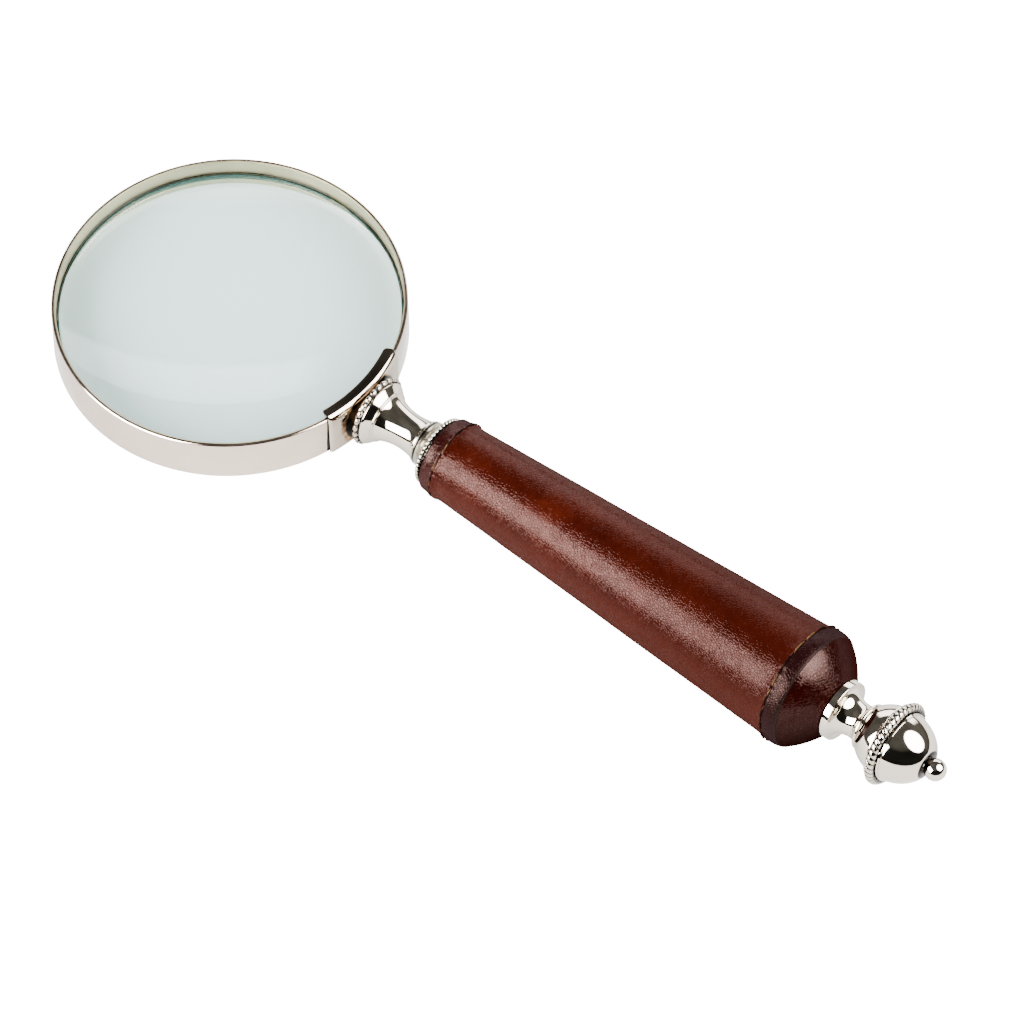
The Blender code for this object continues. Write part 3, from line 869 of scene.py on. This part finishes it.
def make_nickel(
    name, roughness, tint=PLATE_TINT, grime_and_shade=0.0, marks=None, beads=None, slant=0.0, painted_shade=(), wave=0.00002
):
    """Nickel plate: faint smears in the polish, fine wipe marks, and tarnish with painted shade in recesses.
    Black bands of painted shade lie between the (front, rear) stations given, and a piece's own marks and painted
    shade are added last."""
    g = Graph(name)
    place = g.axes()
    smear = g.noise(140.0, 4.0, 0.6)
    wipe = g.noise(900.0, 3.0, 0.6, g.stretched(0.25, 1.0, 1.0))
    rough = g.spread(smear, 0.35, 0.75, roughness * 0.7, roughness * 1.5)
    rough = g.maths("ADD", rough, g.maths("MULTIPLY", wipe, 0.015))
    colour = g.blend(g.spread(smear, 0.3, 0.7), tint, tuple(c * 0.94 for c in tint))
    # Tarnish and painted shade: recesses that ambient occlusion finds are darkened
    if grime_and_shade:
        recess = g.add("AmbientOcclusion", {"samples": 6, "only_local": True}, Distance=0.0009)
        recess_grime_and_shade = g.spread(recess.outputs["AO"], 0.25, 0.75, grime_and_shade, 0.0)
        colour = g.blend(recess_grime_and_shade, colour, (0.045, 0.032, 0.018))
    if beads:
        # Painted shade between the beads and along their root
        colour = g.blend(bead_notches(g, place, beads, slant), colour, NOTCH_SHADE)
    # Painted shade: black bands at joints and grooves
    for front, rear in painted_shade:
        past_front = g.spread(place[0], front * MM, (front + 0.15) * MM)
        before_rear = g.spread(place[0], rear * MM, (rear + 0.1) * MM, 1.0, 0.0)
        colour = g.blend(g.product(past_front, before_rear), colour, (0.006, 0.005, 0.004))
    if marks:
        colour, rough = marks(g, place, colour, rough)
    height = g.maths("ADD", g.noise(60.0, 2.0), g.maths("MULTIPLY", wipe, 0.04))
    relief = g.bump(height, wave)
    return g.finish(g.add("BsdfPrincipled", Base_Color=colour, Metallic=1.0, Roughness=rough, Normal=relief))


def make_leather_material(
    name, tones, gloss=0.14, grain=0.00004, falloff=1.5, level=0.19, sheen_gain=1.0, edge=None
):
    """Waxed, pebbled hide: slow blotches, a fine pebble grain with darker creases, and rub marks.
    tones are its dark, middle and light colour, falloff is how fast the wax loses its shine towards
    the sides, and from station edge on it is black."""
    g = Graph(name)
    dark, middle, light = tones
    blotch = g.noise(75.0, 4.0, 0.55)
    mottle = g.noise(520.0, 4.0, 0.6)
    pebble = g.cells("DISTANCE_TO_EDGE", 1450.0)
    pebble_wide = g.cells("SMOOTH_F1", 950.0)
    tone = g.maths("ADD", g.maths("MULTIPLY", blotch, 0.7), g.maths("MULTIPLY", mottle, 0.3))
    colour = g.ramp(tone, (0.32, dark), (0.5, middle), (0.68, light))
    crease = g.spread(pebble, 0.0, 0.12, 0.35, 0.0)
    colour = g.blend(crease, colour, tuple(c * 0.45 for c in dark))
    spots = g.spread(g.noise(210.0, 2.0, 0.5), 0.70, 0.78, 0.0, 0.55)
    colour = g.blend(spots, colour, tuple(c * 0.35 for c in dark))
    x = g.axes()[0]
    colour = g.blend(g.spread(x, *HAND_WORN, 0.0, 0.5), colour, dark)
    if edge is not None:
        colour = g.blend(g.spread(x, edge * MM, (edge + 0.5) * MM), colour, BLACK_WAX)
    height = g.maths("ADD", g.spread(pebble, 0.0, 0.24), g.maths("MULTIPLY", pebble_wide, 0.3))
    height = g.maths("ADD", height, g.maths("MULTIPLY", g.noise(2400.0, 2.0, 0.5), 0.3))
    relief = g.bump(height, grain, 0.8)
    rough = g.spread(mottle, 0.3, 0.7, gloss * 0.85, gloss * 1.2)
    waxed = g.add(
        "BsdfPrincipled", Base_Color=colour, Roughness=rough, Normal=relief,
        Specular_IOR_Level=level, Specular_Tint=(1.0, 0.58, 0.50, 1.0),
    )
    # Painted sheen: towards the sides, where the wax shines less, the diffuse colour is painted lighter and redder
    # for the hide's soft sheen
    sideways = g.add("LayerWeight", Blend=0.5).outputs["Facing"]
    sheen = g.product(g.spread(sideways, 0.14, 0.42), g.spread(x, *HAND_WORN, 1.0, 0.75))
    sheen_colour = g.blend(sheen, colour, tuple(c * k * sheen_gain for c, k in zip(light, SHEEN_TINT)))
    matt = g.add("BsdfDiffuse", Color=sheen_colour, Normal=relief)
    # Creases hold less wax, and handling has worn it thinner towards the butt
    wax = g.product(g.spread(pebble, 0.0, 0.15, 0.45, 1.0), g.spread(mottle, 0.3, 0.7, 0.75, 1.1))
    wax = g.product(wax, g.spread(x, *HAND_WORN, 1.0, 0.68))
    shine = g.product(g.maths("POWER", g.maths("SUBTRACT", 1.0, sideways), falloff), wax)
    return g.finish(g.add("MixShader", i0=shine, i1=matt.outputs[0], i2=waxed.outputs[0]))


def make_thread():
    """Linen thread, black with wax in places."""
    g = Graph("waxed_linen")
    fibre = g.noise(2500.0, 3.0, 0.7, g.stretched(1.0, 0.4, 0.4))
    dark, light = (0.016, 0.007, 0.003), (0.13, 0.08, 0.04)
    colour = g.ramp(fibre, (0.3, dark), (0.55, (0.055, 0.028, 0.012)), (0.8, light))
    dirt = g.spread(g.noise(150.0, 2.0), 0.38, 0.54)
    colour = g.blend(dirt, colour, (0.003, 0.0014, 0.001))
    relief = g.bump(fibre, 0.00006)
    shader = g.add("BsdfPrincipled", Base_Color=colour, Roughness=0.62, Specular_IOR_Level=0.0, Normal=relief)
    return g.finish(shader)


def make_ground_glass():
    """The lens's edge: ground, so it scatters the glass's own green."""
    g = Graph("ground_glass")
    pits = g.noise(1800.0, 3.0, 0.7)
    colour = g.blend(g.spread(pits, 0.3, 0.7), (0.017, 0.038, 0.032), (0.026, 0.054, 0.046))
    relief = g.bump(pits, 0.00005)
    shader = g.add("BsdfPrincipled", Base_Color=colour, Roughness=0.5, Specular_IOR_Level=0.0, Normal=relief)
    return g.finish(shader)


def make_glass(name, tint, roughness_low, roughness_high):
    """Glass that lets lamps through, so that what lies under it stays lit."""
    g = Graph(name)
    bloom = g.noise(45.0, 3.0, 0.6)
    rough = g.spread(bloom, 0.4, 0.8, roughness_low, roughness_high)
    colour = g.blend(g.spread(bloom, 0.3, 0.7), tint, tuple(min(1.0, c * 1.01) for c in tint))
    inputs = {"Base_Color": colour, "Roughness": rough, "IOR": 1.52, "Transmission_Weight": 1.0}
    shader = g.add("BsdfPrincipled", **inputs)
    path = g.add("LightPath")
    indirect = g.maths("MAXIMUM", path.outputs["Is Shadow Ray"], path.outputs["Is Diffuse Ray"])
    passed = g.add("BsdfTransparent", Color=(*(c * 0.97 for c in tint), 1.0))
    return g.finish(g.add("MixShader", i0=indirect, i1=shader.outputs[0], i2=passed.outputs[0]))


def make_brass():
    """Brazed brass, brown where it has tarnished."""
    g = Graph("stained_brass")
    patch = g.noise(300.0, 4.0, 0.6)
    colour = g.ramp(patch, (0.35, (0.10, 0.055, 0.025)), (0.6, (0.46, 0.29, 0.12)))
    rough = g.spread(patch, 0.3, 0.7, 0.55, 0.3)
    return g.finish(g.add("BsdfPrincipled", Base_Color=colour, Metallic=1.0, Roughness=rough))


def make_steel(name, threaded=False):
    """Steel with fine turning marks, and on the rod the thread that holds the finial."""
    g = Graph(name)
    cut = g.noise(1.0, 2.0, 0.5, g.stretched(5200.0, 300.0, 300.0))
    colour = g.ramp(cut, (0.3, (0.30, 0.30, 0.31)), (0.7, (0.50, 0.50, 0.51)))
    relief = g.bump(cut, 0.00004)
    if threaded:
        x, y, z = g.axes()
        wind = g.maths("MULTIPLY_ADD", x, TURN / ROD_THREAD_PITCH, g.maths("ARCTAN2", y, z))
        crest = g.maths("MULTIPLY_ADD", g.maths("SINE", wind), 0.5, 0.5)
        relief = g.bump(crest, 0.0004, normal=relief)
        # Painted shade in the thread's grooves
        colour = g.blend(g.spread(crest, 0.1, 0.5, 0.8, 0.0), colour, (0.03, 0.025, 0.02))
    return g.finish(g.add("BsdfPrincipled", Base_Color=colour, Metallic=1.0, Roughness=0.34, Normal=relief))


def make_wood():
    """Turned beech, painted black as shade at its front end, where it shows in the gap beside the collar."""
    g = Graph("turned_beech")
    grain = g.noise(1.0, 4.0, 0.55, g.stretched(60.0, 900.0, 900.0))
    colour = g.ramp(grain, (0.3, (0.20, 0.11, 0.05)), (0.6, (0.42, 0.27, 0.14)))
    # Painted shade: black at the front end, in the gap beside the collar
    colour = g.blend(g.spread(g.axes()[0], 0.0725, 0.0735, 1.0, 0.0), colour, (0.006, 0.004, 0.003))
    relief = g.bump(grain, 0.00005)
    return g.finish(g.add("BsdfPrincipled", Base_Color=colour, Roughness=0.7, Normal=relief))


# ---- studio ----


def make_camera():
    """Long lens that looks along the handle from the finial's side."""
    flat = math.cos(CAMERA_ELEVATION)
    height = math.sin(CAMERA_ELEVATION)
    back = Vector((math.sin(CAMERA_AZIMUTH) * flat, -math.cos(CAMERA_AZIMUTH) * flat, height))
    right = (-back).cross(Vector((0.0, 0.0, 1.0))).normalized()
    up = right.cross(-back)
    turned_right = right * math.cos(CAMERA_ROLL) + up * math.sin(CAMERA_ROLL)
    turned_up = up * math.cos(CAMERA_ROLL) - right * math.sin(CAMERA_ROLL)
    pose = Matrix((turned_right, turned_up, back)).transposed().to_4x4()
    pose.translation = (CAMERA_AIM + back * CAMERA_DISTANCE) * MM
    data = bpy.data.cameras.new("camera")
    data.sensor_width = 36.0
    data.lens = FOCAL_LENGTH
    data.clip_end = 100.0
    camera = bpy.data.objects.new("camera", data)
    bpy.context.scene.collection.objects.link(camera)
    camera.matrix_world = PLACE @ pose
    bpy.context.scene.camera = camera


def make_softbox(name, direction, distance, size, radiance, soft, shape="RECTANGLE"):
    """Area light aimed at the handle's middle, with its long side level. size is its width and
    height, radiance its brightness, and soft the share of its width over which its cloth fades out."""
    aim = PLACE @ (CAMERA_AIM * MM)
    data = bpy.data.lights.new(name, "AREA")
    data.shape = shape
    data.size, data.size_y = size
    area = size[0] * size[1] * (math.pi / 4 if shape == "DISK" else 1.0)
    data.energy = radiance * math.pi * area
    g = Graph(data, "Light")
    u, v, _ = g.axes(g.add("NewGeometry").outputs["Parametric"])
    du, dv = (g.maths("ABSOLUTE", g.maths("SUBTRACT", w, 0.5)) for w in (u, v))
    if shape == "DISK":
        fade = g.spread(g.length(du, dv), 0.5 - soft, 0.5, 1.0, 0.0)
    else:
        fade = g.product(*(g.spread(w, 0.5 - soft, 0.5, 1.0, 0.0) for w in (du, dv)))
    g.finish(g.add("Emission", Strength=fade))
    light = bpy.data.objects.new(name, data)
    bpy.context.scene.collection.objects.link(light)
    direction = direction.normalized()
    light.location = aim + direction * distance
    light.rotation_euler = (-direction).to_track_quat("-Z", "Y").to_euler()


def make_floor():
    """Plain pale table, bright enough in view to read as a white sheet."""
    mesh = bpy.data.meshes.new("floor")
    half = FLOOR_SIZE / 2
    low = cad_box[0].z - 0.0001
    sides = ((-half, -half), (half, -half), (half, half), (-half, half))
    mesh.from_pydata([(x, y, low) for x, y in sides], [], [(0, 1, 2, 3)])
    g = Graph("table_top")
    paper = g.add("BsdfPrincipled", Base_Color=(0.40, 0.40, 0.40, 1.0), Roughness=0.9, Specular_IOR_Level=0.1)
    in_view = g.maths("MULTIPLY", g.add("LightPath").outputs["Is Camera Ray"], SHEET_GLOW)
    glow = g.add("Emission", Color=(1.0, 1.0, 1.0, 1.0), Strength=in_view)
    mesh.materials.append(g.finish(g.add("AddShader", i0=paper.outputs[0], i1=glow.outputs[0])))
    floor = bpy.data.objects.new("floor", mesh)
    bpy.context.scene.collection.objects.link(floor)


def make_world():
    """Grey room, dark behind the camera, with a lit ceiling and a bright surround in view."""
    g = Graph(bpy.data.worlds.new("studio"), "World")
    sky = g.add("TexCoord").outputs["Generated"]
    x, y, height = g.axes(sky)
    towards = g.maths("ADD", g.maths("MULTIPLY", x, DARK_SIDE[0]), g.maths("MULTIPLY", y, DARK_SIDE[1]))
    walls = g.spread(towards, 0.0, 0.5, 0.15, 0.015)
    ceiling = g.spread(height, 0.6, 0.88, 0.0, 0.17)
    patches = g.spread(g.noise(1.6, 2.0, 0.5, sky), 0.3, 0.7, 0.7, 1.3)
    room = g.product(g.maths("MAXIMUM", walls, ceiling), patches)
    surround = g.maths("MULTIPLY", g.add("LightPath").outputs["Is Camera Ray"], SURROUND_GLOW)
    strength = g.maths("MAXIMUM", room, surround)
    bpy.context.scene.world = g.finish(g.add("Background", Color=(1.0, 0.98, 0.90, 1.0), Strength=strength))


make_camera()
make_world()
make_floor()
make_softbox("key_softbox", KEY_DIRECTION, 0.95, (0.95, 0.69), radiance=54.0, soft=0.1)
make_softbox("round_softbox", ROUND_DIRECTION, 1.1, (1.15, 1.15), radiance=28.0, soft=0.07, shape="DISK")
make_softbox("fill_panel", FILL_DIRECTION, 1.2, (1.7, 0.64), radiance=8.0, soft=0.15)

clear_glass = make_glass("clear_glass", (0.895, 0.985, 0.977), 0.0, 0.006)
ground_glass = make_ground_glass()

collar_front = span("beaded_collar").front
collar_groove = (collar_front + 0.3, collar_front + 1.0)
bell_beads = (BELL_BEADS, *ring_of("bell_bead_ring"))
collar_beads = (COLLAR_BEADS, *ring_of("collar_bead_ring"))
band_lobes = (FINIAL_LOBES, *ring_of("finial_bead_band"))
rim_nickel = make_nickel("rim_nickel", 0.11, (0.64, 0.52, 0.43), marks=rim_painted_shade, wave=0.00003)
nickel = make_nickel("polished_nickel", 0.04, grime_and_shade=0.7)
saddle_nickel = make_nickel("saddle_nickel", 0.05, (0.50, 0.42, 0.34), grime_and_shade=0.4, marks=heat_stain_and_shadow)
bell_bead_nickel = make_nickel("bell_bead_nickel", 0.08, (0.50, 0.45, 0.38), beads=bell_beads)
collar_bead_nickel = make_nickel("collar_bead_nickel", 0.08, (0.50, 0.46, 0.39), beads=collar_beads)
band_nickel = make_nickel("band_nickel", 0.08, (0.54, 0.48, 0.40), beads=band_lobes, slant=0.45)
# Bands of painted shade on the collar, and where the ball meets the tip
collar_painted_shade = (collar_groove, COLLAR_SHADE)
# Painted reflection: the collar's nickel is tinted dark for the dim reflection in its cove
collar_nickel = make_nickel("collar_nickel", 0.28, (0.36, 0.33, 0.26), grime_and_shade=0.7, painted_shade=collar_painted_shade)
ball_nickel = make_nickel("ball_nickel", 0.04, grime_and_shade=0.5, painted_shade=(BALL_SHADE,))
dark_wire = make_nickel("dark_wire", 0.25, (0.045, 0.045, 0.038))

leather = make_leather_material(
    "grip_leather", ((0.0072, 0.0007, 0.0003), (0.0122, 0.0012, 0.0004), (0.0185, 0.0022, 0.0008))
)
band_leather = make_leather_material(
    "band_leather",
    ((0.0038, 0.0005, 0.0004), (0.0072, 0.0011, 0.0008), (0.0125, 0.0022, 0.0015)),
    gloss=0.17,
    falloff=1.7,
    level=0.27,
)
burnished_leather = make_leather_material(
    "burnished_leather",
    ((0.0024, 0.0005, 0.0005), (0.0046, 0.0010, 0.0010), (0.0085, 0.0016, 0.0014)),
    gloss=0.2,
    falloff=1.9,
    sheen_gain=0.8,
    edge=BURNISHED_EDGE,
)
cap_leather = make_leather_material(
    "cap_leather",
    ((0.0034, 0.0003, 0.0002), (0.0060, 0.0005, 0.0003), (0.0095, 0.0010, 0.0005)),
    gloss=0.08,
    grain=0.000028,
    falloff=3.2,
    level=0.6,
    sheen_gain=0.7,
)
thread = make_thread()

make_lens()
make_rim()
make_retainers()
make_saddle()
make_bell()
make_collar()
for seam in make_leather():
    make_stitches(*seam)
make_finial()
keep("mounting_stud", make_brass())
keep("tie_rod", make_steel("threaded_steel", threaded=True))
steel = make_steel("turned_steel")
keep("butt_washer", steel)
keep("finial_post", steel)
keep("grip_core", make_wood())
